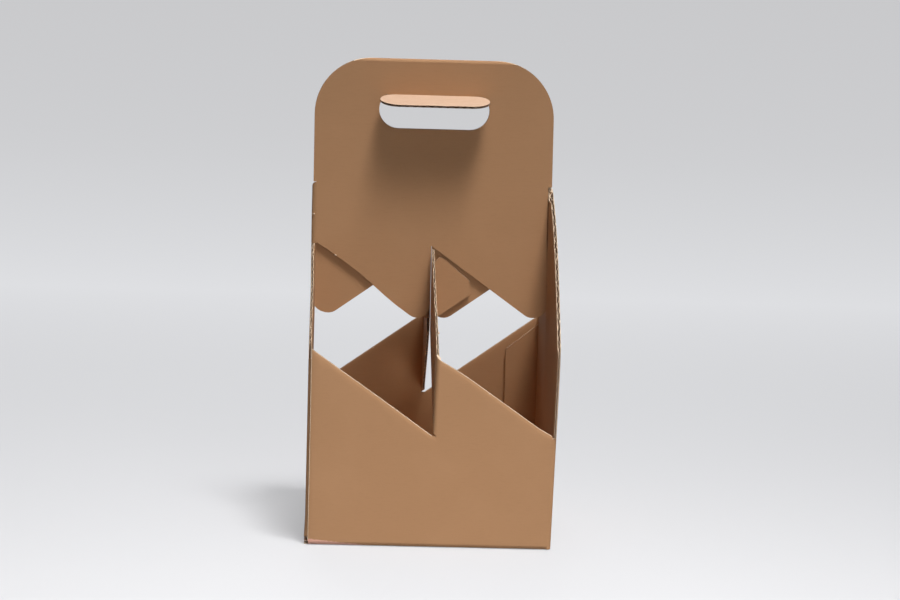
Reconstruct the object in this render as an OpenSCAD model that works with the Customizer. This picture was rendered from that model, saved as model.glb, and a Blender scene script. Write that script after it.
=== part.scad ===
// Four-bottle carrier, die cut and folded from one sheet of single-wall corrugated board.
//
// The carrier has half-turn symmetry about the vertical Z axis. Each half is a chain of panels:
// front panel, side panel with its tall wing, and one layer of the double handle. The two
// layers lie face to face and meet in the fold along the top of the handle.
// Origin: centre of the footprint, on the surface that the carrier stands on.

/* [Board] */
// Thickness of the corrugated board
board_t = 2.5; // [1.5:0.1:3.5]
// Inner radius of a fold
fold_in_r = 0.6; // [0.3:0.1:2]
// Gap left between cut edges that lie side by side
cut_gap = 0.4; // [0.2:0.1:1]

/* [Cells] */
// Width of one bottle cell, from the middle of the carrier to its outer face
cell_w = 92; // [84:1:104]
// Depth of one bottle cell, from the middle plane to the outer face
cell_d = 92; // [84:1:104]

/* [Cut edges] */
// Height of the low end of each slanting cut in the front panel
notch_h = 86; // [70:1:110]
// Rise of a slanting cut across one cell
cut_rise = 66; // [40:1:75]
// Height of the tall wings at the middle plane
wing_h = 266; // [245:1:290]
// Height of the folded top of the handle
handle_h = 362.5; // [350:0.5:400]
// Radius of the two cut corners of the handle
handle_corner_r = 44; // [20:1:60]
// Radius at the low tips of the two handle layers
tip_r = 10; // [4:1:14]
// How far the free corner of each tall wing stands out from its panel
wing_flare = 3.4; // [1:0.2:6]

/* [Hand hole] */
// Length of the hand hole
hole_w = 85; // [70:1:100]
// Height of the oblong that is cut for the hand hole
hole_h = 30; // [24:1:34]
// How far the lowest point of the hand hole lies below the top of the handle
hole_drop = 54; // [44:0.5:66]
// Distance from the lowest point of the hand hole up to the crease of its flap
crease_rise = 26.5; // [20:0.5:28]
// Angle by which each lifted flap droops below the level
flap_droop = 10; // [0:1:40]

/* [Glued flaps] */
// Width of the glue flap at the end of each side panel
seam_flap_w = 28; // [15:1:40]
// How much lower the seam flap ends than the cut edge above it
seam_flap_drop = 9; // [4:1:20]
// Width of the glue flap at the end of each divider
divider_flap_w = 30; // [15:1:40]
// How far the divider flap stays below the top of its divider
divider_flap_drop = 9; // [5:1:16]
// How far the divider flap starts above the low corner of its divider
divider_flap_lift = 9; // [5:1:16]

/* [Bottom] */
// Depth of the inner bottom flaps, hinged on the side panels
dust_flap_d = 62; // [30:1:75]
// How much each inner bottom flap narrows at either end
dust_flap_taper = 12; // [4:1:25]
// Half of the offset between the two levels of the seam between the outer flaps
seam_step = 14; // [6:1:24]
// Half of the width over which that seam changes level
seam_run = 12; // [6:1:24]

/* [Hidden] */
$fn = 64;
kraft = [0.69, 0.53, 0.40];

fold_r = fold_in_r + board_t;
tooth_h = notch_h + cut_rise;
shoulder_h = tooth_h + cut_rise * cell_d / cell_w;
cut_slope = cut_rise / cell_w;
side_slope = (shoulder_h - tooth_h) / cell_d;
hole_z = handle_h - hole_drop;
crease_z = hole_z + crease_rise;
corner_r = min(handle_corner_r, handle_h - wing_h - board_t);

// Place and height of the glued seam behind the rear panel
seam_y = cell_d - board_t;
seam_foot = board_t + fold_r + cut_gap;
seam_top = tooth_h - seam_flap_drop;
overlap = 0.05;

// Bend line of a tall wing, in the plane of its side panel
wing_run = cell_d + board_t;
wing_rise = wing_h - notch_h;
wing_slope = (wing_rise - cut_rise) / wing_run;
bend_angle = atan2(wing_rise, wing_run);
flare_reach = cut_rise * cos(bend_angle);
flare_angle = asin(wing_flare / flare_reach);

// Stands a flat outline up: its x stays X and its y becomes Z, with its thickness along +Y from y0.
module stand_xz(y0) {
    translate([0, y0 + board_t, 0]) rotate([90, 0, 0]) linear_extrude(board_t) children();
}

// Stands a flat outline up: its x becomes Y and its y becomes Z, with its thickness along +X from x0.
module stand_yz(x0) {
    translate([x0, 0, 0]) rotate([90, 0, 90]) linear_extrude(board_t) children();
}

// Quarter of a rolled fold round a vertical axis, filling the first quadrant.
module vertical_fold(height) {
    rotate_extrude(angle = 90) translate([fold_in_r, 0]) square([board_t, height]);
}

// Front panel: two teeth, each falling from its left to a notch at its right.
module front_outline() {
    polygon([
        [-cell_w, fold_r], [cell_w - fold_r, fold_r],
        [cell_w - fold_r, notch_h + cut_slope * fold_r],
        [fold_r, tooth_h - cut_slope * fold_r],
        [fold_r, notch_h], [0, notch_h],
        [-cell_w, tooth_h]
    ]);
}

module front_panel() {
    stand_xz(-cell_d) front_outline();
    // Fold from the front panel into the side panel
    translate([cell_w - fold_r, -cell_d + fold_r, board_t + cut_gap]) rotate([0, 0, -90])
        vertical_fold(notch_h - board_t - cut_gap);
    // Fold from the middle tooth into the divider
    translate([fold_r, -cell_d + fold_r, notch_h]) rotate([0, 0, 180])
        vertical_fold(tooth_h - notch_h);
}

// Part of a side panel that stays flat: below the bend line in front, below the cut edge behind.
module side_outline() {
    polygon([
        [-cell_d + fold_r, board_t + fold_r],
        [-cell_d + fold_r, notch_h], [-cell_d, notch_h],
        [board_t - fold_r, notch_h + wing_rise * (wing_run - fold_r) / wing_run],
        [board_t - fold_r, shoulder_h],
        [board_t, shoulder_h],
        [seam_y - cut_gap, tooth_h + side_slope * (board_t + cut_gap)],
        [seam_y - cut_gap, seam_top], [seam_y - fold_r, seam_top],
        [seam_y - fold_r, seam_foot], [seam_y - cut_gap, seam_foot],
        [seam_y - cut_gap, board_t + fold_r]
    ]);
}

// Upper corner of the tall wing, bent outward along a line from its notch to its tip.
module wing_corner() {
    translate([cell_w - board_t, -cell_d, notch_h])
        rotate([bend_angle, 0, 0]) rotate([0, flare_angle, 0]) rotate([-bend_angle, 0, 0])
            rotate([90, 0, 90]) linear_extrude(board_t)
                polygon([
                    [0, 0], [0, cut_rise],
                    [wing_run - fold_r, cut_rise + (wing_rise - cut_rise) * (wing_run - fold_r) / wing_run],
                    [wing_run - fold_r, wing_rise * (wing_run - fold_r) / wing_run - 2 * board_t]
                ]);
}

module side_panel() {
    stand_yz(cell_w - board_t) side_outline();
    wing_corner();
    // Fold from the wing into the rear layer of the handle, cut along the slanting edge of the wing
    intersection() {
        translate([cell_w - fold_r, board_t - fold_r, shoulder_h]) vertical_fold(wing_h - shoulder_h);
        translate([cell_w - 2 * fold_r, 0, 0]) rotate([90, 0, 90]) linear_extrude(3 * fold_r) polygon([
            [-fold_r, shoulder_h - 1], [2 * fold_r, shoulder_h - 1],
            [2 * fold_r, wing_h + cut_gap + wing_slope * (2 * fold_r - board_t)],
            [-fold_r, wing_h + cut_gap - wing_slope * (board_t + fold_r)]
        ]);
    }
    // Fold and flap at the glued seam behind the rear panel
    translate([cell_w - fold_r, seam_y - fold_r, seam_foot]) vertical_fold(seam_top - seam_foot);
    stand_xz(seam_y - board_t) polygon([
        [cell_w - fold_r, seam_foot], [cell_w - fold_r, seam_top],
        [cell_w - seam_flap_w, seam_top - cut_slope * seam_flap_w], [cell_w - seam_flap_w, seam_foot]
    ]);
}

// Cutter for a sharp low tip at the origin: the piece lies to the left of a vertical edge and
// above a cut that rises to the left, and its tip becomes round.
module tip_cutter() {
    half_tip = (90 - atan(cut_slope)) / 2;
    reach = tip_r / tan(half_tip);
    difference() {
        polygon([
            [overlap, -overlap], [overlap, reach],
            [-tip_r, reach],
            [-reach * cos(atan(cut_slope)), reach * sin(atan(cut_slope))],
            [-reach, -overlap]
        ]);
        translate([-tip_r, reach]) circle(tip_r);
    }
}

// Flat outline of one handle layer, drawn for the layer in front, with its hinge on the left.
module layer_outline() {
    right = cell_w - board_t - cut_gap;
    middle = -cut_gap / 2;
    difference() {
        union() {
            // Handle above the wings, with its round cut corners
            translate([-cell_w, wing_h]) square([2 * cell_w, handle_h - corner_r - wing_h]);
            translate([corner_r - cell_w, wing_h])
                square([2 * (cell_w - corner_r), handle_h - wing_h]);
            for (side = [-1, 1]) translate([side * (cell_w - corner_r), handle_h - corner_r])
                circle(corner_r);
            // Two teeth that hang down behind the bottles
            polygon([
                [fold_r - cell_w, wing_h + overlap],
                [fold_r - cell_w, shoulder_h - cut_slope * fold_r],
                [middle, shoulder_h - cut_slope * (cell_w + middle)], [middle, shoulder_h], [0, shoulder_h],
                [right, shoulder_h - cut_slope * right],
                [right, wing_h + overlap]
            ]);
        }
        translate([middle, shoulder_h - cut_slope * (cell_w + middle)]) tip_cutter();
        translate([right, shoulder_h - cut_slope * right]) tip_cutter();
    }
}

// The oblong that is cut out under the crease of the flap
module hand_hole(margin = 0) {
    end_x = hole_w / 2 - hole_h / 2;
    intersection() {
        union() {
            translate([-end_x, hole_z + margin]) square([2 * end_x, hole_h - 2 * margin]);
            for (side = [-1, 1]) translate([side * end_x, hole_z + hole_h / 2])
                circle(hole_h / 2 - margin);
        }
        translate([-hole_w, hole_z - hole_h]) square([2 * hole_w, hole_h + crease_rise]);
    }
}

// Flap of the hand hole, lifted towards the outside of its layer on a rolled crease.
module hand_flap() {
    lift = 90 - flap_droop;
    hinge_half = hole_w / 2 - hole_h / 2
        + sqrt(pow(hole_h / 2, 2) - pow(crease_rise - hole_h / 2, 2)) - cut_gap;
    translate([0, -board_t, crease_z]) {
        rotate([-lift, 0, 0]) translate([0, 0, -crease_z]) translate([0, board_t, 0])
            stand_xz(-board_t) hand_hole(cut_gap);
        // Pressed crease, a little thinner than the board and let into the layer and the flap
        translate([-hinge_half, 0, 0]) rotate([90, 0, 90]) rotate([0, 0, -lift - 2])
            rotate_extrude(angle = lift + 4) square([0.9 * board_t, 2 * hinge_half]);
    }
}

// One layer of the handle, rounded along its top where the sheet turns over into the other.
module handle_layer() {
    intersection() {
        stand_xz(-board_t) layer_outline();
        union() {
            translate([-cell_w, -board_t, 0]) cube([2 * cell_w, board_t, handle_h - board_t]);
            translate([-cell_w, 0, handle_h - board_t]) rotate([0, 90, 0])
                cylinder(r = board_t, h = 2 * cell_w);
        }
    }
}

// Divider between the two front cells: a slanted panel hinged on the middle tooth,
// with a glue flap that lies against the rear layer of the handle.
module divider() {
    flap_top = shoulder_h - divider_flap_drop;
    flap_low = tooth_h + divider_flap_lift;
    root_top = flap_top - divider_flap_drop / 3;
    stand_yz(0) polygon([
        [-cell_d + fold_r, notch_h + side_slope * fold_r],
        [-cell_d + fold_r, tooth_h + side_slope * fold_r],
        [-fold_r, shoulder_h - side_slope * fold_r],
        [-fold_r, tooth_h - side_slope * fold_r]
    ]);
    translate([fold_r, -fold_r, flap_low]) rotate([0, 0, 90]) vertical_fold(root_top - flap_low);
    stand_xz(-board_t) polygon([
        [fold_r, flap_low], [fold_r, root_top], [fold_r + divider_flap_drop / 3, flap_top],
        [divider_flap_drop, flap_top],
        [divider_flap_w, flap_top - cut_slope * (divider_flap_w - divider_flap_drop) - board_t],
        [divider_flap_w, flap_low + cut_slope * (divider_flap_w - fold_r)]
    ]);
}

// Outer bottom flap: it ends in a stepped seam with the flap of the other half.
module outer_bottom_flap() {
    side = cell_w - cut_gap;
    half_gap = cut_gap / 2;
    linear_extrude(board_t) polygon([
        [-side, -cell_d + fold_r], [side, -cell_d + fold_r],
        [side, seam_step - half_gap], [seam_run, seam_step - half_gap],
        [-seam_run, -seam_step - half_gap], [-side, -seam_step - half_gap]
    ]);
    // Fold along the foot of the front panel
    translate([-side, -cell_d + fold_r, fold_r]) rotate([90, 0, 90])
        rotate([0, 0, 180]) vertical_fold(side + cell_w - fold_r);
}

// Inner bottom flap, hinged on the foot of the side panel and glued down on the outer flaps.
module inner_bottom_flap() {
    root = cell_d - 2 * board_t - fold_r;
    translate([0, 0, board_t]) linear_extrude(board_t) polygon([
        [cell_w - fold_r, -root], [cell_w - fold_r, root],
        [cell_w - dust_flap_d, root - dust_flap_taper], [cell_w - dust_flap_d, dust_flap_taper - root]
    ]);
    translate([cell_w - fold_r, root, board_t + fold_r]) rotate([90, 0, 0])
        rotate([0, 0, -90]) vertical_fold(2 * root);
}

// One half of the blank: everything up to its line of the fold on top of the handle.
module half_blank() {
    front_panel();
    side_panel();
    divider();
    outer_bottom_flap();
    inner_bottom_flap();
    rotate([0, 0, 180]) handle_layer();
}

module carrier() {
    color(kraft) {
        difference() {
            union() {
                half_blank();
                rotate([0, 0, 180]) half_blank();
            }
            // Hand hole through both layers
            translate([0, 2 * board_t, 0]) rotate([90, 0, 0]) linear_extrude(4 * board_t) hand_hole();
        }
        hand_flap();
        rotate([0, 0, 180]) hand_flap();
    }
}

carrier();
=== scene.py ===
"""Looks of a folded bottle carrier in single-wall corrugated board.

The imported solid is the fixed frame. The script builds the same sheet again panel by panel, with
the two liners and the fluted medium of real board, so that its cut edges show their flutes.
"""

from __future__ import annotations

import logging
import math
from collections.abc import Callable, Iterable
from dataclasses import dataclass
from enum import Enum

import bmesh
import bpy
from mathutils import Matrix, Vector

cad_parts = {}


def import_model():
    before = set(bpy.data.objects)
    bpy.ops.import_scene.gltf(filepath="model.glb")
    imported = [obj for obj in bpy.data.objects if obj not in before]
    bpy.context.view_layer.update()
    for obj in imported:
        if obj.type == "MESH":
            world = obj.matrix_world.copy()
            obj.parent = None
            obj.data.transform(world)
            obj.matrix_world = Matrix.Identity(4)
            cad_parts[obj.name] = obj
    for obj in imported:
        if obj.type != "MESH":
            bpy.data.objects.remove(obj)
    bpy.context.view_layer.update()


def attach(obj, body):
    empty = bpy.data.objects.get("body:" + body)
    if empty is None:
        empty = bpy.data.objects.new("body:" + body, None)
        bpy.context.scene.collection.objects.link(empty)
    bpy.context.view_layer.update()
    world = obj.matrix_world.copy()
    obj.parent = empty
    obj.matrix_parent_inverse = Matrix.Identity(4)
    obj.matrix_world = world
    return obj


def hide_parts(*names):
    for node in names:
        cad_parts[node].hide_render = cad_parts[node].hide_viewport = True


MM = 0.001
NODE = "carrier"

# Distance within which two points of a mesh are one, and margin of a search, in millimetres
WELD = 1e-4
NEAR = 0.01
# Angle up to which an edge is shaded smooth, and turn of one run of a rolled fold, in degrees
SMOOTH_ANGLE = 35.0
ROLL_STEP = 11.25
# Straight runs that stand for a corner of the handle, its stretch in the fold, a tip, a hole's end
CORNER_STEPS = 14
TOP_STEPS = 5
TIP_STEPS = 8
HOLE_STEPS = 12
# Directions in the frame
ORIGIN = (0.0, 0.0, 0.0)
RIGHT, BACK, UP = (1.0, 0.0, 0.0), (0.0, 1.0, 0.0), (0.0, 0.0, 1.0)
LEFT, FRONT, DOWN = (-1.0, 0.0, 0.0), (0.0, -1.0, 0.0), (0.0, 0.0, -1.0)

Point2 = tuple[float, float]
Point3 = tuple[float, float, float]
Span = tuple[float, float]
Loop = tuple[Point2, ...]
Colour = tuple[int, int, int]
Warp = Callable[[Vector], Vector]
Mesh = bmesh.types.BMesh
Material = bpy.types.Material
Inputs = dict[str | int, object]
Settings = dict[str, object]
LOG = logging.getLogger("carrier")


class Paper(Enum):
    """Kinds of paper surface on the board, in the order of a piece's material slots."""

    LINER = 0
    CUT_EDGE = 1
    # Also painted shade on the cut rims of the hand-hole flaps
    MEDIUM_AND_RIM_SHADE = 2
    # Painted sheen and light: the paler paper on the hand-hole flaps
    BACK = 3


def linear(colour: Colour) -> tuple[float, float, float, float]:
    """Turns an sRGB colour of 0 to 255 into Blender's linear colour."""

    def channel(value: int) -> float:
        """One channel."""
        part = value / 255.0
        return part / 12.92 if part <= 0.04045 else ((part + 0.055) / 1.055) ** 2.4

    red, green, blue = colour
    return channel(red), channel(green), channel(blue), 1.0


def smoothstep(low: float, high: float, value: float) -> float:
    """Goes smoothly from 0 at low to 1 at high, which may be the smaller one."""
    part = min(max((value - low) / (high - low), 0.0), 1.0)
    return part * part * (3.0 - 2.0 * part)


# ---- Shading ----


@dataclass(frozen=True)
class Grain:
    """Fractal noise: its patterns per metre along X, Y and Z, its detail and its roughness."""

    scale: Point3
    detail: float
    rough: float


@dataclass
class Wire:
    """A socket in a node tree, on which arithmetic adds Math nodes."""

    graph: Graph
    socket: bpy.types.NodeSocket

    def _math(self, operation: str, *values: Wire | float) -> Wire:
        """Adds one Math node on the given values."""
        return self.graph.node("ShaderNodeMath", {"operation": operation}, dict(enumerate(values)))

    def __add__(self, other: Wire | float) -> Wire:
        """Sum."""
        return self._math("ADD", self, other)

    def __sub__(self, other: Wire | float) -> Wire:
        """Difference."""
        return self._math("SUBTRACT", self, other)

    def __rsub__(self, other: float) -> Wire:
        """Difference from a number on the left."""
        return self._math("SUBTRACT", other, self)

    def __mul__(self, other: Wire | float) -> Wire:
        """Product."""
        return self._math("MULTIPLY", self, other)

    def clamped(self, low: float, high: float) -> Wire:
        """Maps the range from low to high onto 0 to 1 and stays inside it."""
        return self.graph.node(
            "ShaderNodeMapRange",
            {"clamp": True},
            {"Value": self, "From Min": low, "From Max": high, "To Min": 0.0, "To Max": 1.0},
        )


@dataclass
class Graph:
    """The node tree of one material, built by calls to node()."""

    tree: bpy.types.NodeTree

    @classmethod
    def of_material(cls, name: str) -> tuple[Material, Graph]:
        """Makes an empty node material of this name, and its graph."""
        material = bpy.data.materials.new(name)
        material.use_nodes = True
        material.node_tree.nodes.clear()
        return material, cls(material.node_tree)

    def _add(self, kind: str, settings: Settings | None, inputs: Inputs | None) -> bpy.types.Node:
        """Adds a node with its settings, then gives its inputs their values and links."""
        made = self.tree.nodes.new(kind)
        for key, value in (settings or {}).items():
            setattr(made, key, value)
        for key, value in (inputs or {}).items():
            if isinstance(value, Wire):
                self.tree.links.new(value.socket, made.inputs[key])
            else:
                made.inputs[key].default_value = value
        return made

    def node(
        self,
        kind: str,
        settings: Settings | None = None,
        inputs: Inputs | None = None,
        output: str | int = 0,
    ) -> Wire:
        """Adds a node.

        Args:
            kind: The node's type, such as ShaderNodeMath.
            settings: Properties that are set before the inputs.
            inputs: A value or a wire for each named or numbered input.
            output: The output that is wanted.

        Returns:
            The wanted output as a wire.
        """
        return Wire(self, self._add(kind, settings, inputs).outputs[output])

    def here(self) -> Wire:
        """Object coordinates, in metres."""
        return self.node("ShaderNodeTexCoord", output="Object")

    def axis(self, letter: str) -> Wire:
        """Object coordinate along the axis X, Y or Z."""
        return self.node("ShaderNodeSeparateXYZ", {}, {"Vector": self.here()}, letter)

    def noise(self, grain: Grain) -> Wire:
        """Fractal noise of 0 to 1 on scaled Object coordinates."""
        place = self.node("ShaderNodeMapping", {}, {"Vector": self.here(), "Scale": grain.scale})
        inputs = {"Vector": place, "Scale": 1.0, "Detail": grain.detail, "Roughness": grain.rough}
        return self.node("ShaderNodeTexNoise", {"noise_dimensions": "3D"}, inputs)

    def blend(self, factor: Wire | float, first: object, second: object) -> Wire:
        """Mixes two colours by factor."""
        inputs = {0: factor, 6: first, 7: second}
        return self.node("ShaderNodeMix", {"data_type": "RGBA"}, inputs, output=2)

    def end(self, kind: str, shader: Wire) -> None:
        """Closes the graph with an output node."""
        self._add(kind, None, {"Surface": shader})

    def surface(self, colour: Wire, roughness: Wire | float, height: Wire, depth: float) -> None:
        """Closes the graph with a Principled surface.

        Args:
            colour: Base colour.
            roughness: Roughness, as a value or a wire.
            height: Relief of 0 to 1.
            depth: Depth of that relief, in metres.
        """
        relief = {"Height": height, "Strength": 1.0, "Distance": depth}
        normal = self.node("ShaderNodeBump", {}, relief)
        inputs = {"Base Color": colour, "Roughness": roughness, "Normal": normal}
        self.end("ShaderNodeOutputMaterial", self.node("ShaderNodeBsdfPrincipled", {}, inputs))


@dataclass(frozen=True)
class KraftLiner:
    """Unbleached kraft liner: brown, matt, with fine fibres lying across the flutes.

    A window is the part of a grain over which its effect grows. The foot strip is a lighter,
    pinkish strip at the front left foot, tapering to the right; its sizes are in metres.
    """

    body: Colour = (174, 130, 91)
    fibre: Colour = (150, 106, 71)
    pale: Colour = (190, 146, 107)
    foot_strip_colour: Colour = (216, 163, 143)
    fibres: Grain = Grain((140.0, 140.0, 1300.0), 4.0, 0.65)
    specks: Grain = Grain((700.0, 700.0, 1400.0), 3.0, 0.6)
    clouds: Grain = Grain((22.0, 22.0, 26.0), 2.0, 0.5)
    fibre_window: Span = (0.50, 0.78)
    speck_window: Span = (0.60, 0.85)
    cloud_window: Span = (0.42, 0.75)
    faint_window: Span = (0.10, 0.36)
    dark_share: float = 0.22
    cloud_share: float = 0.20
    faint_share: float = -0.16
    pale_share: float = 0.12
    fibre_relief: float = 0.6
    speck_relief: float = 0.4
    relief: float = 0.06 * MM
    roughness: float = 0.88
    fibre_polish: float = 0.10
    foot_strip_width: Span = (-92.0 * MM, -38.0 * MM)
    foot_strip_depth: Span = (-88.0 * MM, -86.0 * MM)
    foot_strip_height: float = 5.0 * MM
    foot_strip_edge: Grain = Grain((260.0, 260.0, 260.0), 3.0, 0.6)
    foot_strip_fray: float = 2.0 * MM
    foot_strip_fade: float = 0.6 * MM
    foot_strip_tail: float = 0.2

    def _foot_strip(self, graph: Graph) -> Wire:
        """Mask of the lighter strip at the front left foot, which tapers towards the right."""
        x, y, z = (graph.axis(letter) for letter in "XYZ")
        taper = 1.0 - x.clamped(*self.foot_strip_width)
        fray = (graph.noise(self.foot_strip_edge) - 0.5) * self.foot_strip_fray
        top = taper * self.foot_strip_height + fray
        low = (top - z).clamped(0.0, self.foot_strip_fade)
        return low * (1.0 - y.clamped(*self.foot_strip_depth)) * taper.clamped(0.0, self.foot_strip_tail)

    def build(self) -> Material:
        """Makes the liner's material."""
        material, graph = Graph.of_material("kraft_liner")
        fibres, specks = graph.noise(self.fibres), graph.noise(self.specks)
        clouds = graph.noise(self.clouds)
        dark = fibres.clamped(*self.fibre_window) * self.dark_share
        dark += specks.clamped(*self.speck_window) * self.dark_share
        base = graph.blend(dark, linear(self.body), linear(self.fibre))
        light = clouds.clamped(*self.cloud_window) * self.cloud_share
        light += specks.clamped(*self.faint_window) * self.faint_share
        light += self.pale_share
        paper = graph.blend(light, base, linear(self.pale))
        colour = graph.blend(self._foot_strip(graph), paper, linear(self.foot_strip_colour))
        relief = fibres * self.fibre_relief + specks * self.speck_relief
        rough = self.roughness - fibres * self.fibre_polish
        graph.surface(colour, rough, relief, self.relief)
        return material


@dataclass(frozen=True)
class PlainPaper:
    """A paper whose grain blends it from one colour into another, over a window of the grain.

    The grain is its relief too, and the relief's depth is in metres.
    """

    name: str
    body: Colour
    grained: Colour
    grain: Grain
    window: Span
    roughness: float
    relief: float

    def build(self) -> Material:
        """Makes the paper's material."""
        material, graph = Graph.of_material(self.name)
        grain = graph.noise(self.grain)
        share = grain.clamped(*self.window)
        colour = graph.blend(share, linear(self.body), linear(self.grained))
        graph.surface(colour, self.roughness, grain, self.relief)
        return material


# The fuzzy pale edge that a die leaves on liner and medium
CUT_PAPER = PlainPaper(
    name="cut_paper",
    body=(224, 199, 170),
    grained=(176, 144, 114),
    grain=Grain((1500.0, 1500.0, 1500.0), 4.0, 0.7),
    window=(0.45, 0.75),
    roughness=0.92,
    relief=0.1 * MM,
)
# The medium between the liners, a little darker and greyer than they are; on the cut rims of the
# hand-hole flaps its darker colour is painted shade
FLUTE_AND_RIM_SHADE_PAPER = PlainPaper(
    name="flute_and_rim_shade_paper",
    body=(140, 108, 84),
    grained=(112, 84, 63),
    grain=Grain((400.0, 400.0, 900.0), 3.0, 0.6),
    window=(0.4, 0.75),
    roughness=0.9,
    relief=0.06 * MM,
)
# Paler paper on both faces of the lifted hand-hole flaps: painted sheen and painted light, for the
# grazing sheen and the stronger top light on their upward faces
PAINTED_SHEEN_LINER = PlainPaper(
    name="painted_sheen_liner",
    body=(205, 172, 146),
    grained=(184, 147, 117),
    grain=Grain((140.0, 1300.0, 1300.0), 4.0, 0.65),
    window=(0.5, 0.8),
    roughness=0.8,
    relief=0.05 * MM,
)


# ---- Board ----


def new_verts(made: dict[str, list]) -> list[bmesh.types.BMVert]:
    """The vertices among what an extrusion has made."""
    return [item for item in made["geom"] if isinstance(item, bmesh.types.BMVert)]


def show(name: str, mesh: Mesh, papers: Iterable[Material]) -> bpy.types.Object:
    """Turns a mesh into an object of the scene, all smooth, with these papers in its slots."""
    data = bpy.data.meshes.new(name)
    for face in mesh.faces:
        face.smooth = True
    mesh.to_mesh(data)
    mesh.free()
    for paper in papers:
        data.materials.append(paper)
    made = bpy.data.objects.new(name, data)
    bpy.context.scene.collection.objects.link(made)
    return made


def lies_flat(face: bmesh.types.BMFace) -> bool:
    """Whether a face looks mostly along w, and not along the board."""
    return abs(face.normal.z) > 0.5


@dataclass(frozen=True)
class Outline:
    """A flat cut shape in millimetres.

    Args:
        loop: Its corners, anticlockwise or clockwise.
        hole: The corners of a hole in it, if it has one.
        crushed: Edges of the loop, by number, that the cutting die has pressed flat.
    """

    loop: Loop
    hole: Loop = ()
    crushed: tuple[int, ...] = ()

    def edge(self, number: int) -> tuple[Point2, Point2]:
        """The two ends of an edge of the loop."""
        return self.loop[number], self.loop[(number + 1) % len(self.loop)]

    def depth(self, u: float, v: float) -> float:
        """Distance from a point to the nearest crushed edge."""
        nearest = math.inf
        for number in self.crushed:
            (u0, v0), (u1, v1) = self.edge(number)
            run_u, run_v = u1 - u0, v1 - v0
            part = ((u - u0) * run_u + (v - v0) * run_v) / (run_u * run_u + run_v * run_v)
            part = min(max(part, 0.0), 1.0)
            nearest = min(nearest, math.hypot(u - u0 - part * run_u, v - v0 - part * run_v))
        return nearest

    @staticmethod
    def inside(loop: Loop, u: float, v: float) -> bool:
        """Whether a point lies inside a loop."""
        held = False
        for (u0, v0), (u1, v1) in zip(loop, loop[1:] + loop[:1]):
            if (v0 > v) != (v1 > v) and u < u0 + (v - v0) * (u1 - u0) / (v1 - v0):
                held = not held
        return held


def arc(centre: Point2, radius: float, start: float, end: float, steps: int) -> list[Point2]:
    """Points along an arc from start to end, in degrees, both included."""
    angles = [math.radians(start + (end - start) * i / steps) for i in range(steps + 1)]
    return [(centre[0] + radius * math.cos(a), centre[1] + radius * math.sin(a)) for a in angles]


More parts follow.
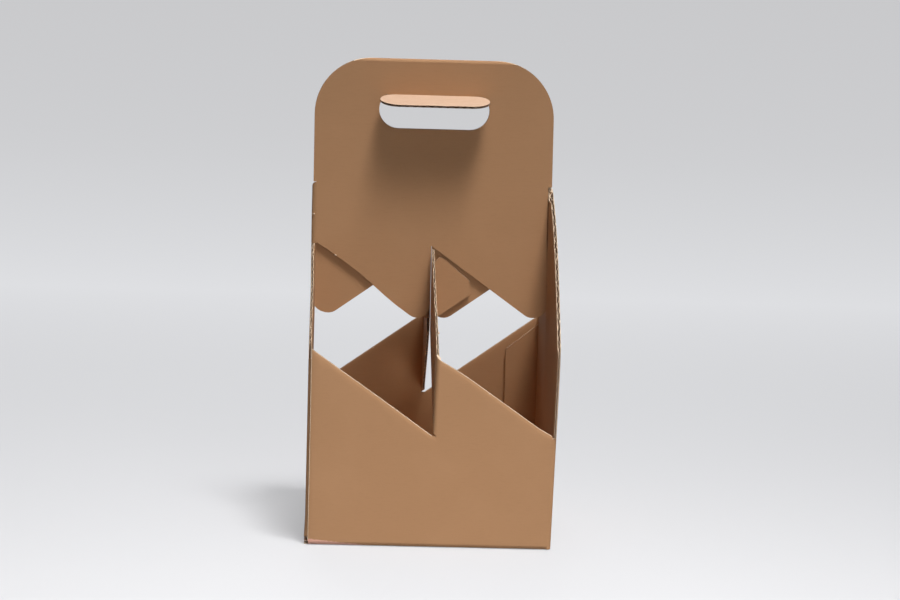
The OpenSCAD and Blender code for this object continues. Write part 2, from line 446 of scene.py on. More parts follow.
@dataclass(frozen=True)
class Board:
    """Single-wall corrugated board: two liners with a fluted medium between them.

    Lengths are in millimetres. Crush is the share of the thickness that is lost at a crushed edge.
    It fades over crush_reach and is followed for crush_tail times that. The crush_lines are the
    distances at which a sheet gets a line to bend on. The torn strip shows the rim's paper.
    """

    thickness: float = 2.5
    liner: float = 0.34
    medium: float = 0.26
    pitch: float = 6.2
    wave_steps: int = 10
    liner_cell: float = 8.0
    medium_run: float = 16.0
    crush: float = 0.42
    crush_reach: float = 1.5
    crush_tail: float = 3.0
    crush_lines: tuple[float, ...] = (0.45, 1.3, 2.8)
    torn: float = 0.8
    rim: Paper = Paper.CUT_EDGE
    face: Paper = Paper.LINER

    def _grid(self, outline: Outline, cell_u: float, cell_v: float) -> Mesh:
        """A flat grid over an outline's box, cut to the outline."""
        us, vs = zip(*outline.loop)
        low_u, high_u, low_v, high_v = min(us), max(us), min(vs), max(vs)
        grid = bmesh.new()
        bmesh.ops.create_grid(
            grid,
            x_segments=max(1, round((high_u - low_u) / cell_u)),
            y_segments=max(1, round((high_v - low_v) / cell_v)),
            size=0.5,
        )
        bmesh.ops.scale(grid, vec=(high_u - low_u, high_v - low_v, 1.0), verts=grid.verts)
        centre = Vector(((low_u + high_u) / 2.0, (low_v + high_v) / 2.0, 0.0))
        bmesh.ops.translate(grid, vec=centre, verts=grid.verts)
        self._cut(grid, outline.loop, keep_inside=True)
        if outline.hole:
            self._cut(grid, outline.hole, keep_inside=False)
        for number in outline.crushed:
            (u0, v0), (u1, v1) = outline.edge(number)
            along = Vector((u1 - u0, v1 - v0)).normalized()
            for reach in self.crush_lines:
                for side in (-reach, reach):
                    shift_u, shift_v = -along.y * side, along.x * side
                    self._score(grid, (u0 + shift_u, v0 + shift_v), (u1 + shift_u, v1 + shift_v))
        return grid

    @staticmethod
    def _score(grid: Mesh, start: Point2, end: Point2) -> None:
        """Splits the faces of a flat grid that a line from start to end crosses."""
        low_u, high_u = min(start[0], end[0]) - NEAR, max(start[0], end[0]) + NEAR
        low_v, high_v = min(start[1], end[1]) - NEAR, max(start[1], end[1]) + NEAR
        faces = []
        for face in grid.faces:
            us = [vert.co.x for vert in face.verts]
            vs = [vert.co.y for vert in face.verts]
            if max(us) > low_u and min(us) < high_u and max(vs) > low_v and min(vs) < high_v:
                faces.append(face)
        edges = {edge for face in faces for edge in face.edges}
        verts = {vert for face in faces for vert in face.verts}
        bmesh.ops.bisect_plane(
            grid,
            geom=[*faces, *edges, *verts],
            dist=WELD,
            plane_co=(start[0], start[1], 0.0),
            plane_no=(end[1] - start[1], start[0] - end[0], 0.0),
        )

    def _cut(self, grid: Mesh, loop: Loop, keep_inside: bool) -> None:
        """Cuts a flat grid along a loop and drops the faces on one side of it."""
        for start, end in zip(loop, loop[1:] + loop[:1]):
            self._score(grid, start, end)
        doomed = []
        for face in grid.faces:
            centre = face.calc_center_median()
            if Outline.inside(loop, centre.x, centre.y) != keep_inside:
                doomed.append(face)
        bmesh.ops.delete(grid, geom=doomed, context="FACES")

    @staticmethod
    def _thicken(sheet: Mesh, amount: float) -> None:
        """Gives an open sheet its thickness along w."""
        made = bmesh.ops.extrude_face_region(sheet, geom=sheet.faces[:])
        bmesh.ops.translate(sheet, vec=(0.0, 0.0, amount), verts=new_verts(made))
        bmesh.ops.recalc_face_normals(sheet, faces=sheet.faces)

    def _press(self, sheet: Mesh, outline: Outline) -> None:
        """Presses a layer towards the middle of the board along the crushed edges."""
        middle = self.thickness / 2.0
        for vert in sheet.verts:
            depth = outline.depth(vert.co.x, vert.co.y) / self.crush_reach
            if depth < self.crush_tail:
                keep = 1.0 - self.crush * math.exp(-depth * depth)
                vert.co.z = middle + (vert.co.z - middle) * keep

    def liner_sheet(self, outline: Outline, inner: bool) -> Mesh:
        """One liner, lying on the low or the high side of the board."""
        sheet = self._grid(outline, self.liner_cell, self.liner_cell)
        low = self.thickness - self.liner if inner else 0.0
        bmesh.ops.translate(sheet, vec=(0.0, 0.0, low), verts=sheet.verts)
        self._thicken(sheet, self.liner)
        for item in sheet.faces:
            centre = item.calc_center_median()
            whole = lies_flat(item) and outline.depth(centre.x, centre.y) > self.torn
            item.material_index = (self.face if whole else self.rim).value
        self._press(sheet, outline)
        return sheet

    def medium_sheet(self, outline: Outline, flutes_upright: bool) -> Mesh:
        """The fluted medium, with its flutes along v or along u."""
        fine, coarse = self.pitch / self.wave_steps, self.medium_run
        cells = (fine, coarse) if flutes_upright else (coarse, fine)
        sheet = self._grid(outline, *cells)
        swing = (self.thickness - 2.0 * self.liner - self.medium) / 2.0
        middle = (self.thickness - self.medium) / 2.0
        for vert in sheet.verts:
            across = vert.co.x if flutes_upright else vert.co.y
            vert.co.z = middle + swing * math.cos(math.tau * across / self.pitch)
        self._thicken(sheet, self.medium)
        for item in sheet.faces:
            item.material_index = (Paper.MEDIUM_AND_RIM_SHADE if lies_flat(item) else self.rim).value
        self._press(sheet, outline)
        return sheet

    @staticmethod
    def nick(length: float = 1.7, width: float = 1.1, rounding: float = 0.3) -> Mesh:
        """A scrap of paper left where the die did not cut the blank free."""
        scrap = bmesh.new()
        bmesh.ops.create_cube(scrap, size=1.0)
        bmesh.ops.scale(scrap, vec=(length, width, width), verts=scrap.verts)
        bmesh.ops.bevel(
            scrap, geom=scrap.edges[:], offset=rounding, segments=2, profile=0.5, affect="EDGES"
        )
        for face in scrap.faces:
            face.material_index = Paper.CUT_EDGE.value
        return scrap

    def panel(self, outline: Outline, flutes_upright: bool = True) -> list[Mesh]:
        """A flat panel of board: both liners and the medium."""
        liners = [self.liner_sheet(outline, inner) for inner in (False, True)]
        return [*liners, self.medium_sheet(outline, flutes_upright)]

    def roll(self, inner_radius: float, length: float, angle: float = 90.0) -> Mesh:
        """A rolled fold about the w axis, from the u axis, pressed solid.

        Args:
            inner_radius: Radius of its hollow side, in millimetres.
            length: Its length along w.
            angle: How far it turns, in degrees.

        Returns:
            The closed mesh of the fold.
        """
        fold = bmesh.new()
        outer = inner_radius + self.thickness
        rows = max(2, round(length / self.liner_cell))
        corners = [fold.verts.new((r, 0.0, 0.0)) for r in (inner_radius, outer)]
        strip = [fold.edges.new(corners)]
        for _ in range(rows):
            made = bmesh.ops.extrude_edge_only(fold, edges=strip)
            verts = new_verts(made)
            edges = [item for item in made["geom"] if isinstance(item, bmesh.types.BMEdge)]
            strip = [item for item in edges if all(vert in verts for vert in item.verts)]
            bmesh.ops.translate(fold, vec=(0.0, 0.0, length / rows), verts=verts)
        bmesh.ops.spin(
            fold,
            geom=[*fold.faces, *fold.edges, *fold.verts],
            axis=(0.0, 0.0, 1.0),
            cent=ORIGIN,
            angle=math.radians(angle),
            steps=max(3, round(angle / ROLL_STEP)),
            use_merge=False,
        )
        bmesh.ops.remove_doubles(fold, verts=fold.verts, dist=WELD)
        bmesh.ops.recalc_face_normals(fold, faces=fold.faces)
        for item in fold.faces:
            item.material_index = (Paper.CUT_EDGE if lies_flat(item) else Paper.LINER).value
        return fold


# The board of a hand-hole flap, pressed hard along its round edge. Its cut rim takes the darker
# flute paper as painted shade, and its faces the paler paper as painted sheen and light
FLAP_BOARD = Board(
    liner_cell=2.0,
    medium_run=3.0,
    crush=0.35,
    crush_reach=2.6,
    crush_lines=(),
    torn=0.0,
    # Painted shade: the darker flute paper on the flap's cut rim
    rim=Paper.MEDIUM_AND_RIM_SHADE,
    # Painted sheen and light on the flap's faces
    face=Paper.BACK,
)


def slice_off(mesh: Mesh, point: Point3, away: Point3) -> None:
    """Cuts a closed mesh with a plane and closes the cut.

    Args:
        mesh: The mesh, in the plane's own space.
        point: A point on the plane.
        away: The plane's normal, towards the side that goes.
    """
    bmesh.ops.bisect_plane(
        mesh,
        geom=[*mesh.faces, *mesh.edges, *mesh.verts],
        dist=WELD,
        plane_co=point,
        plane_no=away,
        clear_outer=True,
    )
    open_edges = [edge for edge in mesh.edges if edge.is_boundary]
    made = bmesh.ops.holes_fill(mesh, edges=open_edges, sides=0)
    for face in made["faces"]:
        face.material_index = Paper.CUT_EDGE.value


class Piece:
    """One shown piece: panels and folds gathered into a single mesh object."""

    def __init__(self, name: str, turned: bool, warp: Warp) -> None:
        """Starts an empty piece.

        Args:
            name: The piece's name.
            turned: Whether the piece is turned half round about the vertical axis.
            warp: How this piece is bent out of its nominal place, in frame millimetres.
        """
        self.name = name
        self.turn = Matrix.Rotation(math.pi if turned else 0.0, 4, "Z")
        self.warp = warp
        self.mesh = bmesh.new()

    def add(self, parts: Iterable[Mesh], origin: Point3, along: Point3, up: Point3) -> None:
        """Puts parts in their place and joins them to the piece.

        Args:
            parts: Meshes in (u, v, w), in millimetres.
            origin: The place of their origin in the frame, in millimetres.
            along: The direction of u.
            up: The direction of v.
        """
        u, v = Vector(along).normalized(), Vector(up).normalized()
        axes = Matrix((u, v, u.cross(v))).transposed().to_4x4()
        matrix = self.turn @ (Matrix.Translation(Vector(origin)) @ axes)
        for part in parts:
            for vert in part.verts:
                vert.co = self.warp(matrix @ vert.co) * MM
            held = bpy.data.meshes.new("part")
            part.to_mesh(held)
            part.free()
            self.mesh.from_mesh(held)
            bpy.data.meshes.remove(held)

    def finish(self, papers: list[Material]) -> None:
        """Makes the object, gives it its papers and ties it to the frame."""
        made = show(self.name, self.mesh, papers)
        made.data.set_sharp_from_angle(angle=math.radians(SMOOTH_ANGLE))
        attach(made, "root")
        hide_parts(NODE)
        LOG.info("%s: %d faces", self.name, len(made.data.polygons))


# ---- The carrier ----


@dataclass(frozen=True)
class Sizes:
    """Driving sizes of the carrier, in millimetres, and the places that follow from them."""

    half_width: float = 92.0
    half_depth: float = 92.0
    height: float = 362.5
    board: float = 2.5
    fold_inner: float = 0.6
    crease_inner: float = 0.05
    soft_fold: float = 3.4
    gap: float = 0.4
    notch: float = 86.0
    rise: float = 66.0
    wing_top: float = 266.0
    corner_radius: float = 44.0
    tip_radius: float = 10.0
    hole_width: float = 85.0
    hole_height: float = 30.0
    hole_foot: float = 308.5
    crease_rise: float = 26.5
    flap_droop: float = 10.0
    seam_flap: float = 28.0
    seam_drop: float = 9.0
    divider_flap: float = 30.0
    divider_drop: float = 9.0
    divider_lift: float = 9.0
    dust_flap: float = 62.0
    dust_taper: float = 12.0
    seam_step: float = 14.0
    seam_run: float = 12.0

    @property
    def fold(self) -> float:
        """Outer radius of a fold."""
        return self.fold_inner + self.board

    @property
    def tooth(self) -> float:
        """Height of the high end of a slanting cut in the front panel."""
        return self.notch + self.rise

    @property
    def slope(self) -> float:
        """Fall of a slanting cut in the front panel and in the handle layers."""
        return self.rise / self.half_width

    @property
    def shoulder(self) -> float:
        """Height at which the side panel's low edge meets the handle."""
        return self.tooth + self.rise * self.half_depth / self.half_width

    @property
    def side_slope(self) -> float:
        """Fall of the side panel's low edge."""
        return (self.shoulder - self.tooth) / self.half_depth

    @property
    def wing_slope(self) -> float:
        """Fall of the wing's slanting edge."""
        return (self.wing_top - self.tooth) / (self.half_depth + self.board)

    @property
    def crease(self) -> float:
        """Height of the crease of the hand-hole flaps."""
        return self.hole_foot + self.crease_rise

    @property
    def corner_centre(self) -> Point2:
        """Centre of the handle's right cut corner, as its x and its height."""
        return self.half_width - self.corner_radius, self.height - self.corner_radius

    @property
    def corner_start(self) -> float:
        """Angle on that corner at which the fold along the top begins, in degrees."""
        low = self.height - self.board - self.corner_centre[1]
        return math.degrees(math.asin(low / self.corner_radius))


@dataclass(frozen=True)
class Stance:
    """How this carrier stands out of true, in millimetres or, for a rate, per millimetre.

    A span or a fade holds the two places between which a bend grows from nothing to the whole.
    """

    sizes: Sizes
    lean: float = 0.0105
    lean_foot: float = 60.0
    tip_bulge: float = 1.0
    bulge_span: Span = (60.0, 200.0)
    left_bulge_span: Span = (150.0, 250.0)
    left_bulge_fade: Span = (40.0, 0.0)
    wing_foot: float = 0.5
    wing_rate: float = 0.0188
    wing_most: float = 3.1
    wing_reach: float = 35.0
    rear_rate: float = 0.5 / 150.0
    seam_foot: float = 2.7
    seam_rate: float = 0.005
    foot_jut: float = 0.8
    jut_fade: Span = (14.0, 2.0)
    wall_span: Span = (30.0, 88.0)
    hinge_reach: float = 6.0
    hinge_span: Span = (88.9, 91.5)
    right_ease: float = 1.2
    left_ease: float = 1.8
    ease_span: Span = (78.0, 88.0)
    ease_fade: Span = (222.0, 212.0)
    hem_lift: float = 3.9
    hem_span: Span = (-25.0, -60.0)
    hem_fade: Span = (264.0, 225.0)
    panel_foot: float = 0.45
    panel_rate: float = 0.0055
    left_span: Span = (20.0, 92.0)
    right_span: Span = (80.0, 91.0)
    left_drop: float = 0.9
    tooth_lean: float = 1.04
    tooth_drop: float = 2.5
    tooth_reach: float = 16.0
    tooth_most: float = 1.1
    corner_drop: float = 2.3
    lean_power: float = 1.5
    drop_power: float = 3.0
    hem_nick: float = -74.2
    wing_nick: Point2 = (-91.4, 238.0)
    divider_nick: float = -73.0
    divider_nick_length: float = 3.2
    divider_nick_sink: float = 0.6

    def _handle_shift(self, z: float) -> float:
        """How far the handle leans to the left at a height."""
        return -self.lean * max(z - self.lean_foot, 0.0)

    def _right_shift(self, y: float, z: float) -> float:
        """Shift of the right-hand wall."""
        depth = self.sizes.half_depth
        middle = self._handle_shift(z) + self.tip_bulge * smoothstep(*self.bulge_span, z)
        if y > 0.0:
            return middle * (1.0 - y / depth) - self.rear_rate * z * y / depth
        part = 1.0 - math.exp(y / self.wing_reach)
        part /= 1.0 - math.exp(-depth / self.wing_reach)
        front = min(self.wing_foot + self.wing_rate * z, self.wing_most)
        return middle + (front - middle) * part

    def _left_shift(self, y: float, z: float) -> float:
        """Shift of the left-hand wall."""
        front = 0.5 - 0.5 * y / self.sizes.half_depth
        near = (self.seam_foot + self.seam_rate * z) * front
        near += self.foot_jut * front * smoothstep(*self.jut_fade, z)
        bulge = smoothstep(*self.left_bulge_span, z) * smoothstep(*self.left_bulge_fade, abs(y))
        return -near - self.tip_bulge * bulge

    def side(self, point: Vector) -> Vector:
        """Bends a side wall, its glued flap and the bottom flaps."""
        x, y, z = point
        shift = self._right_shift(y, z) if x > 0.0 else self._left_shift(y, z)
        inner, span = 0.0, self.wall_span
        if abs(y) < self.hinge_reach and z > self.sizes.tooth:
            inner, span = self._handle_shift(z), self.hinge_span
        return Vector((x + inner + (shift - inner) * smoothstep(*span, abs(x)), y, z))

    def handle(self, point: Vector) -> Vector:
        """Leans the handle and spreads its low tips to the walls."""
        x, y, z = point
        ease = self.right_ease if x > 0.0 else -self.left_ease
        ease *= smoothstep(*self.ease_span, abs(x)) * smoothstep(*self.ease_fade, z)
        return Vector((x + self._handle_shift(z) + ease, y, z))

    def front_handle(self, point: Vector) -> Vector:
        """Leans the front layer of the handle and draws up its hem on the left."""
        lift = smoothstep(*self.hem_span, point.x) * smoothstep(*self.hem_fade, point.z)
        moved = self.handle(point)
        moved.z += self.hem_lift * lift
        return moved

    def front(self, point: Vector) -> Vector:
        """Bends the front panel, or eases the rear panel into the walls beside it."""
        x, y, z = point
        s = self.sizes
        if y > 0.0:
            return Vector((x - self.rear_rate * z * smoothstep(*self.wall_span, x), y, z))
        left = (self.panel_foot + self.panel_rate * z) * smoothstep(*self.left_span, -x)
        right = (self.wing_foot + self.wing_rate * z) * smoothstep(*self.right_span, x)
        up = max((z - s.notch) / s.rise, 0.0)
        if x < -NEAR:
            return Vector((x - left, y, z - self.left_drop * up))
        near = up * math.exp(-((x / self.tooth_reach) ** 2))
        lean, drop = self.tooth_lean * near, self.tooth_drop * up + self.corner_drop * near
        return Vector((x + right + lean, y, z - s.slope * lean - drop))

    def divide(self, point: Vector) -> Vector:
        """Bends a divider between the tooth that it hangs on and the handle."""
        x, y, z = point
        s = self.sizes
        far = min(abs(y) / s.half_depth, 1.0)
        if y > 0.0:
            return Vector((x + self._handle_shift(z) * (1.0 - far), y, z))
        low = s.notch + s.side_slope * (s.half_depth - abs(y))
        up = min(max((z - low) / s.rise, 0.0), self.tooth_most)
        tooth, part = self.tooth_lean * up, far**self.lean_power
        drop = s.slope * tooth + (self.tooth_drop + self.corner_drop) * up
        shift = self._handle_shift(z) * (1.0 - part) + tooth * part
        return Vector((x + shift, y, z - drop * far**self.drop_power))


@dataclass(frozen=True)
class Part:
    """A part of the blank, with the carrier's sizes, board and stance, and whether it is turned."""

    sizes: Sizes
    board: Board
    stance: Stance
    turned: bool = False


class FrontWall(Part):
    """The front panel with its two teeth and its folds: to the side, the foot and the divider."""

    def outline(self) -> Outline:
        """The panel's cut shape, with u along X and v along Z."""
        s = self.sizes
        loop = (
            (-s.half_width, s.fold),
            (s.half_width - s.fold, s.fold),
            (s.half_width - s.fold, s.notch + s.slope * s.fold),
            (s.soft_fold, s.tooth - s.slope * s.soft_fold),
            (s.soft_fold, s.notch),
            (0.0, s.notch),
            (-s.half_width, s.tooth),
        )
        return Outline(loop, crushed=(2, 5, 6))

    def build(self, name: str) -> Piece:
        """Builds the panel with its folds."""
        s, board = self.sizes, self.board
        piece = Piece(name, self.turned, self.stance.front)
        piece.add(board.panel(self.outline()), (0.0, -s.half_depth + s.board, 0.0), RIGHT, UP)
        side_fold = board.roll(s.fold_inner, s.notch - s.gap)
        corner = (s.half_width - s.fold, -s.half_depth + s.fold, s.gap)
        piece.add([side_fold], corner, FRONT, RIGHT)
        foot = board.roll(s.fold_inner, 2.0 * s.half_width - s.gap - s.fold)
        corner = (s.gap - s.half_width, -s.half_depth + s.fold, s.fold)
        piece.add([foot], corner, FRONT, DOWN)
        soft = s.soft_fold
        tooth_fold = board.roll(soft - s.board, s.rise + s.slope * soft)
        slice_off(tooth_fold, (0.0, 0.0, s.rise), (-s.slope, s.slope, 1.0))
        slice_off(tooth_fold, ORIGIN, (s.slope, 0.0, -1.0))
        corner = (soft, -s.half_depth + soft, s.notch)
        piece.add([tooth_fold], corner, LEFT, FRONT)
        return piece


class SideWall(Part):
    """A side panel over the full depth, with its tall wing and the flap glued behind the rear."""

    def _seam(self) -> Point3:
        """Depth of the glued seam, and the heights of its low and its high end."""
        s = self.sizes
        return s.half_depth - s.board, s.board + s.fold + s.gap, s.tooth - s.seam_drop

    def outline(self) -> Outline:
        """The panel's cut shape, with u along Y and v along Z."""
        s = self.sizes
        seam, foot, top = self._seam()
        near = s.board - s.fold
        loop = (
            (s.fold - s.half_depth, s.board + s.fold),
            (s.fold - s.half_depth, s.notch),
            (-s.half_depth, s.notch),
            (-s.half_depth, s.tooth),
            (near, s.wing_top - s.wing_slope * s.fold),
            (near, s.shoulder),
            (s.board, s.shoulder),
            (seam - s.gap, s.tooth + s.side_slope * (s.board + s.gap)),
            (seam - s.gap, top),
            (seam - s.fold, top),
            (seam - s.fold, foot),
            (seam - s.gap, foot),
            (seam - s.gap, s.board + s.fold),
        )
        return Outline(loop, crushed=(2, 6))

    def build(self, name: str) -> Piece:
        """Builds the panel, the fold to the handle and the glued seam flap."""
        s, board = self.sizes, self.board
        piece = Piece(name, self.turned, self.stance.side)
        piece.add(board.panel(self.outline()), (s.half_width - s.board, 0.0, 0.0), BACK, UP)
        root, end = s.half_width - s.fold, s.half_width - s.seam_flap
        tall = s.wing_top - s.shoulder
        fold = board.roll(s.fold_inner, tall)
        slice_off(fold, (0.0, s.fold, tall), (0.0, -s.wing_slope, 1.0))
        piece.add([fold], (root, s.board - s.fold, s.shoulder), RIGHT, BACK)
        seam, foot, top = self._seam()
        fold = board.roll(s.fold_inner, top - foot)
        piece.add([fold], (root, seam - s.fold, foot), RIGHT, BACK)
        flap = Outline(((end, foot), (root, foot), (root, top), (end, top - s.slope * s.seam_flap)))
        piece.add(board.panel(flap), (0.0, seam, 0.0), RIGHT, UP)
        return piece


class HandleLayer(Part):
    """One layer of the handle, drawn for the layer in front, with its hand-hole flap."""

    def _tip(self, edge: float, low: float) -> list[Point2]:
        """The rounded low tip left of an upright edge, from the slanting cut to the edge."""
        s = self.sizes
        angle = math.degrees(math.atan(s.slope))
        half = math.radians((90.0 - angle) / 2.0)
        reach = s.tip_radius / math.tan(half)
        centre = (edge - s.tip_radius, low + reach)
        return arc(centre, s.tip_radius, 270.0 - angle, 360.0, TIP_STEPS)

    def hole(self, margin: float = 0.0) -> list[Point2]:
        """The hand hole's outline below its crease, counted from the crease's left end."""
        s = self.sizes
        radius = s.hole_height / 2.0
        end = s.hole_width / 2.0 - radius
        middle = s.hole_foot + radius
        over = math.degrees(math.asin((s.crease_rise - radius) / (radius - margin)))
        left = arc((-end, middle), radius - margin, 180.0 - over, 270.0, HOLE_STEPS)
        right = arc((end, middle), radius - margin, -90.0, over, HOLE_STEPS)
        return [*left, *right]

    def outline(self) -> Outline:
        """The layer's cut shape, with u along X and v along Z."""
        s = self.sizes
        right = s.half_width - s.board - s.gap
        middle = -s.gap / 2.0
        centre_x, centre_z = s.corner_centre
        start, radius = s.corner_start, s.corner_radius
        loop = [
            (-s.half_width, s.wing_top),
            (s.fold - s.half_width, s.wing_top),
            (s.fold - s.half_width, s.shoulder - s.slope * s.fold),
            *self._tip(middle, s.shoulder - s.slope * (s.half_width + middle)),
            (middle, s.shoulder),
            (0.0, s.shoulder),
            *self._tip(right, s.shoulder - s.slope * right),
            (right, s.wing_top),
            (s.half_width, s.wing_top),
            *arc((centre_x, centre_z), radius, 0.0, start, CORNER_STEPS),
            *arc((-centre_x, centre_z), radius, 180.0 - start, 180.0, CORNER_STEPS),
        ]
        return Outline(tuple(loop), tuple(self.hole()))

    def build(self, name: str) -> Piece:
        """Builds the layer and its lifted flap."""
        s, board, stance = self.sizes, self.board, self.stance
        piece = Piece(name, self.turned, stance.handle if self.turned else stance.front_handle)
        piece.add(board.panel(self.outline()), ORIGIN, RIGHT, UP)
        if not self.turned:
            hem = s.shoulder - s.slope * (s.half_width + stance.hem_nick)
            for x, z in ((stance.hem_nick, hem), stance.wing_nick):
                piece.add([board.nick()], (x, -board.thickness, z), RIGHT, UP)
        lift = math.radians(90.0 - s.flap_droop)
        down = Vector((0.0, -math.sin(lift), -math.cos(lift)))
        normal = Vector(RIGHT).cross(-down)
        hinge = Vector((0.0, -s.board, s.crease))
        flap = [(u, v - s.crease) for u, v in self.hole(s.gap)]
        rim = Outline(tuple(flap), crushed=tuple(range(len(flap) - 1)))
        corner = tuple(hinge - normal * s.board)
        piece.add(FLAP_BOARD.panel(rim), corner, RIGHT, tuple(-down))
        half = -flap[0][0]
        roll = board.roll(s.crease_inner, 2.0 * half, 90.0 - s.flap_droop)
        start = (0.0, math.cos(lift), -math.sin(lift))
        turn = (0.0, math.sin(lift), math.cos(lift))
        piece.add([roll], (-half, -s.board, s.crease), start, turn)
        return piece


class TopFold(Part):
    """The fold along the top of the handle, where one layer turns over into the other."""

    def build(self, name: str) -> Piece:
        """Builds the half-round fold, cut by the handle's round corners."""
        s = self.sizes
        base = s.height - s.board
        centre_x, centre_z = s.corner_centre
        centre = (centre_x, centre_z - base)
        points = arc(centre, s.corner_radius, s.corner_start, 90.0, TOP_STEPS)
        half = points[0][0]
        roll = self.board.roll(s.crease_inner, 2.0 * half, 180.0)
        for (x0, z0), (x1, z1) in zip(points, points[1:]):
            for side in (-1.0, 1.0):
                away = (0.0, x0 - x1, side * (z1 - z0))
                slice_off(roll, (0.0, z0, half + side * x0), away)
        piece = Piece(name, self.turned, self.stance.handle)
        piece.add([roll], (-half, 0.0, base), BACK, UP)
        return piece


class Divider(Part):
    """The slanting divider between two cells, with its flap glued on the handle."""

    def build(self, name: str) -> Piece:
        """Builds the divider, its rear fold and its glue flap."""
        s, board = self.sizes, self.board
        piece = Piece(name, self.turned, self.stance.divide)
        front, rear = s.soft_fold - s.half_depth, -s.fold
        slope = s.side_slope
        loop = (
            (front, s.notch + slope * s.soft_fold),
            (rear, s.tooth - slope * s.fold),
            (rear, s.shoulder - slope * s.fold),
            (front, s.tooth + slope * s.soft_fold),
        )
        panel = Outline(loop, crushed=(0, 2))
        piece.add(board.panel(panel), ORIGIN, BACK, UP)
        if not self.turned:
            y = self.stance.divider_nick
            z = s.tooth + slope * (s.half_depth + y) - self.stance.divider_nick_sink
            scrap = board.nick(self.stance.divider_nick_length)
            piece.add([scrap], (board.thickness, y, z), BACK, UP)
        top, low = s.shoulder - s.divider_drop, s.tooth + s.divider_lift
        clip, width = s.divider_drop / 3.0, s.divider_flap
        roll = board.roll(s.fold_inner, top - clip - low)
        piece.add([roll], (s.fold, -s.fold, low), BACK, LEFT)
        loop = (
            (s.fold, low),
            (width, low + s.slope * (width - s.fold)),
            (width, top - s.slope * (width - s.divider_drop) - s.board),
            (s.divider_drop, top),
            (s.fold + clip, top),
            (s.fold, top - clip),
        )
        flap = Outline(loop)
        piece.add(board.panel(flap), ORIGIN, RIGHT, UP)
        return piece


class BottomFlaps(Part):
    """The outer and inner bottom flaps of one half of the blank."""

    def build(self, name: str) -> Piece:
        """Builds both flaps and the fold of the inner one."""
        s, board = self.sizes, self.board
        piece = Piece(name, self.turned, self.stance.side)
        side, half_gap = s.half_width - s.gap, s.gap / 2.0
        root = s.fold - s.half_depth
        loop = (
            (-side, root),
            (side, root),
            (side, s.seam_step - half_gap),
            (s.seam_run, s.seam_step - half_gap),
            (-s.seam_run, -s.seam_step - half_gap),
            (-side, -s.seam_step - half_gap),
        )
        outer = Outline(loop)
        piece.add(board.panel(outer), ORIGIN, RIGHT, BACK)
        reach = s.half_depth - 2.0 * s.board - s.fold
        hinge, end = s.half_width - s.fold, s.half_width - s.dust_flap
        loop = (
            (hinge, -reach),
            (hinge, reach),
            (end, reach - s.dust_taper),
            (end, s.dust_taper - reach),
        )
        inner = Outline(loop)
        piece.add(board.panel(inner, False), (0.0, 0.0, s.board), RIGHT, BACK)
        roll = board.roll(s.fold_inner, 2.0 * reach)
        piece.add([roll], (hinge, reach, s.board + s.fold), DOWN, RIGHT)
        return piece


@dataclass(frozen=True)
class Carrier:
    """The whole carrier: two equal halves and the fold between them."""

    sizes: Sizes = Sizes()
    board: Board = Board()

    def build(self) -> None:
        """Builds every piece and dresses it in its papers."""
        papers = [paper.build() for paper in (KraftLiner(), CUT_PAPER, FLUTE_AND_RIM_SHADE_PAPER, PAINTED_SHEEN_LINER)]
        kit = (self.sizes, self.board, Stance(self.sizes))
        for turned, near, hand in ((False, "front", "right"), (True, "rear", "left")):
            for kind, name in (
                (FrontWall, f"{near}_wall"),
                (SideWall, f"{hand}_wall"),
                (HandleLayer, f"{near}_handle_layer"),
                (Divider, f"{near}_divider"),
                (BottomFlaps, f"{near}_bottom_flaps"),
            ):
                kind(*kit, turned).build(name).finish(papers)
        TopFold(*kit).build("handle_top_fold").finish(papers)


# ---- Studio ----


@dataclass(frozen=True)
class Lamp:
    """A soft square lamp aimed at a target, in metres, with the angle of its grid in degrees."""

    name: str
    place: Point3
    target: Point3
    size: float
    watts: float
    grid: float = 36.0

    def build(self) -> None:
        """Adds the lamp to the scene, out of the camera's sight."""
        data = bpy.data.lights.new(self.name, "AREA")
        data.shape = "SQUARE"
        data.size = self.size
        data.energy = self.watts
        data.spread = math.radians(self.grid)
        lamp = bpy.data.objects.new(self.name, data)
        look = (Vector(self.target) - Vector(self.place)).to_track_quat("-Z", "Y")
        lamp.matrix_world = Matrix.Translation(Vector(self.place)) @ look.to_matrix().to_4x4()
        lamp.visible_camera = False
        bpy.context.scene.collection.objects.link(lamp)


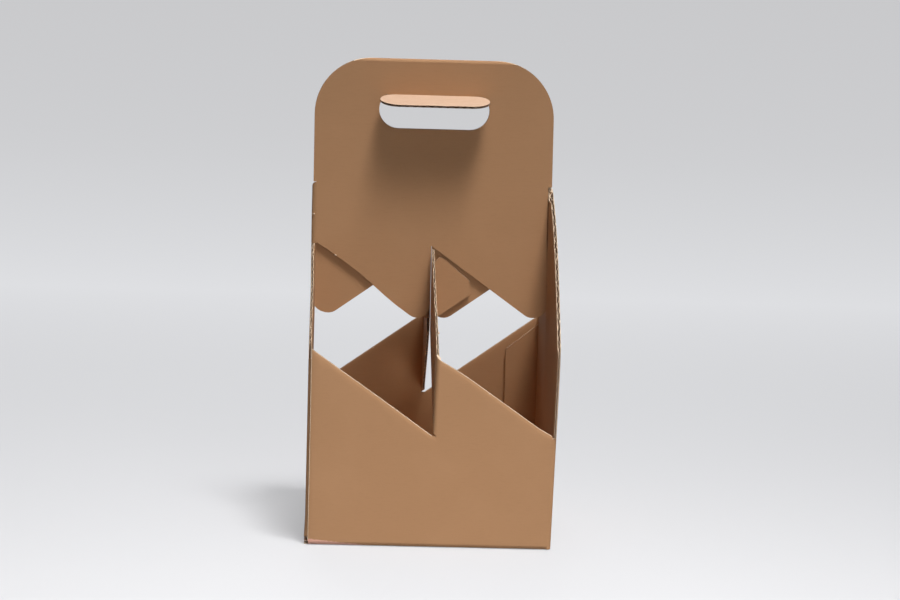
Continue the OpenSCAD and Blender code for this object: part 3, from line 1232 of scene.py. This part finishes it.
@dataclass(frozen=True)
class Studio:
    """Pale sweep, sky, lamps and the camera, in metres and degrees."""

    azimuth: float = -2.556
    elevation: float = 9.31
    roll: float = 1.86
    distance: float = 3.23179
    target: Point3 = (0.01397, 0.0, 0.17578)
    focal_pixels: float = 4169.92
    frame_pixels: int = 900
    sensor_mm: float = 36.0
    view_end: float = 50.0
    floor_near: Colour = (206, 206, 208)
    floor_middle: Colour = (238, 239, 242)
    floor_far: Colour = (215, 215, 217)
    floor_bounce: Colour = (130, 130, 132)
    floor_drop: float = -0.0003
    near_span: Span = (-0.3, 1.1)
    far_span: Span = (1.1, 3.2)
    glow_near: float = 0.5
    glow_far: float = 0.8
    sweep_half: float = 6.0
    sweep_top: float = 5.0
    bend_start: float = 2.2
    bend_radius: float = 1.2
    bend_steps: int = 12
    sky: Colour = (236, 238, 242)
    sky_strength: float = 0.15
    lamps: tuple[Lamp, ...] = (
        Lamp("key", (0.695, -1.911, 4.568), (0.0, -1.0, 0.0), 1.8, 32.5),
        Lamp("low", (0.45, -1.7, 0.35), (0.0, -0.1, -0.2), 0.7, 0.7),
        Lamp("back", (-0.2, 2.8, 2.3), (0.0, 0.0, 0.2), 1.4, 2.0),
    )

    def camera(self) -> None:
        """Sets the camera at the photograph's viewing angle, for a 900 by 600 frame."""
        turn, lift, roll = (math.radians(a) for a in (self.azimuth, self.elevation, self.roll))
        back = Vector(
            (math.sin(turn) * math.cos(lift), -math.cos(turn) * math.cos(lift), math.sin(lift))
        )
        right = Vector((math.cos(turn), math.sin(turn), 0.0))
        up = back.cross(right)
        rolled_right = right * math.cos(roll) + up * math.sin(roll)
        rolled_up = up * math.cos(roll) - right * math.sin(roll)
        data = bpy.data.cameras.new("camera")
        data.sensor_fit = "HORIZONTAL"
        data.sensor_width = self.sensor_mm
        data.lens = self.focal_pixels / self.frame_pixels * data.sensor_width
        data.clip_end = self.view_end
        camera = bpy.data.objects.new("camera", data)
        rotation = Matrix((rolled_right, rolled_up, back)).transposed().to_4x4()
        where = Vector(self.target) + back * self.distance
        camera.matrix_world = Matrix.Translation(where) @ rotation
        bpy.context.scene.collection.objects.link(camera)
        bpy.context.scene.camera = camera

    def _sweep_paper(self) -> Material:
        """Makes the sweep's paper, which glows where it is seen and is darker where it isn't."""
        material, graph = Graph.of_material("paper_sweep")
        camera, glossy, clear = (
            graph.node("ShaderNodeLightPath", output=f"Is {kind} Ray")
            for kind in ("Camera", "Glossy", "Transmission")
        )
        seen = (camera + glossy + clear).clamped(0.0, 1.0)
        y = graph.axis("Y")
        away = y.clamped(*self.near_span)
        paper = graph.blend(away, linear(self.floor_near), linear(self.floor_middle))
        paper = graph.blend(y.clamped(*self.far_span), paper, linear(self.floor_far))
        bounce = graph.node("ShaderNodeBsdfDiffuse", {}, {"Color": linear(self.floor_bounce)})
        lit = graph.node("ShaderNodeBsdfDiffuse", {}, {"Color": paper})
        glow = graph.node("ShaderNodeEmission", {}, {"Color": paper, "Strength": 1.0})
        share = away * (self.glow_far - self.glow_near) + self.glow_near
        shown = graph.node("ShaderNodeMixShader", {}, {0: share, 1: lit, 2: glow})
        whole = graph.node("ShaderNodeMixShader", {}, {0: seen, 1: bounce, 2: shown})
        graph.end("ShaderNodeOutputMaterial", whole)
        return material

    def sweep(self) -> None:
        """Makes the floor and the backdrop as one curved sheet."""
        sheet = bmesh.new()
        low, start, radius = self.floor_drop, self.bend_start, self.bend_radius
        bend = arc((start, radius + low), radius, -90.0, 0.0, self.bend_steps)
        profile = [(-self.sweep_half, low), *bend, (start + radius, self.sweep_top)]
        verts = [sheet.verts.new((-self.sweep_half, y, z)) for y, z in profile]
        edges = [sheet.edges.new(pair) for pair in zip(verts, verts[1:])]
        moved = new_verts(bmesh.ops.extrude_edge_only(sheet, edges=edges))
        bmesh.ops.translate(sheet, vec=(2.0 * self.sweep_half, 0.0, 0.0), verts=moved)
        bmesh.ops.recalc_face_normals(sheet, faces=sheet.faces)
        floor = show("sweep", sheet, [self._sweep_paper()])

    def world(self) -> None:
        """Lights the scene with an even pale sky."""
        world = bpy.data.worlds.new("studio")
        bpy.context.scene.world = world
        world.use_nodes = True
        world.node_tree.nodes.clear()
        graph = Graph(world.node_tree)
        light = {"Color": linear(self.sky), "Strength": self.sky_strength}
        graph.end("ShaderNodeOutputWorld", graph.node("ShaderNodeBackground", {}, light))

    def build(self) -> None:
        """Builds the whole studio."""
        bpy.context.scene.view_settings.view_transform = "Standard"
        self.camera()
        self.sweep()
        self.world()
        for lamp in self.lamps:
            lamp.build()


def main() -> None:
    """Builds the carrier and the studio."""
    logging.basicConfig(level=logging.INFO, format="%(message)s")
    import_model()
    Carrier().build()
    Studio().build()


if __name__ == "__main__":
    main()
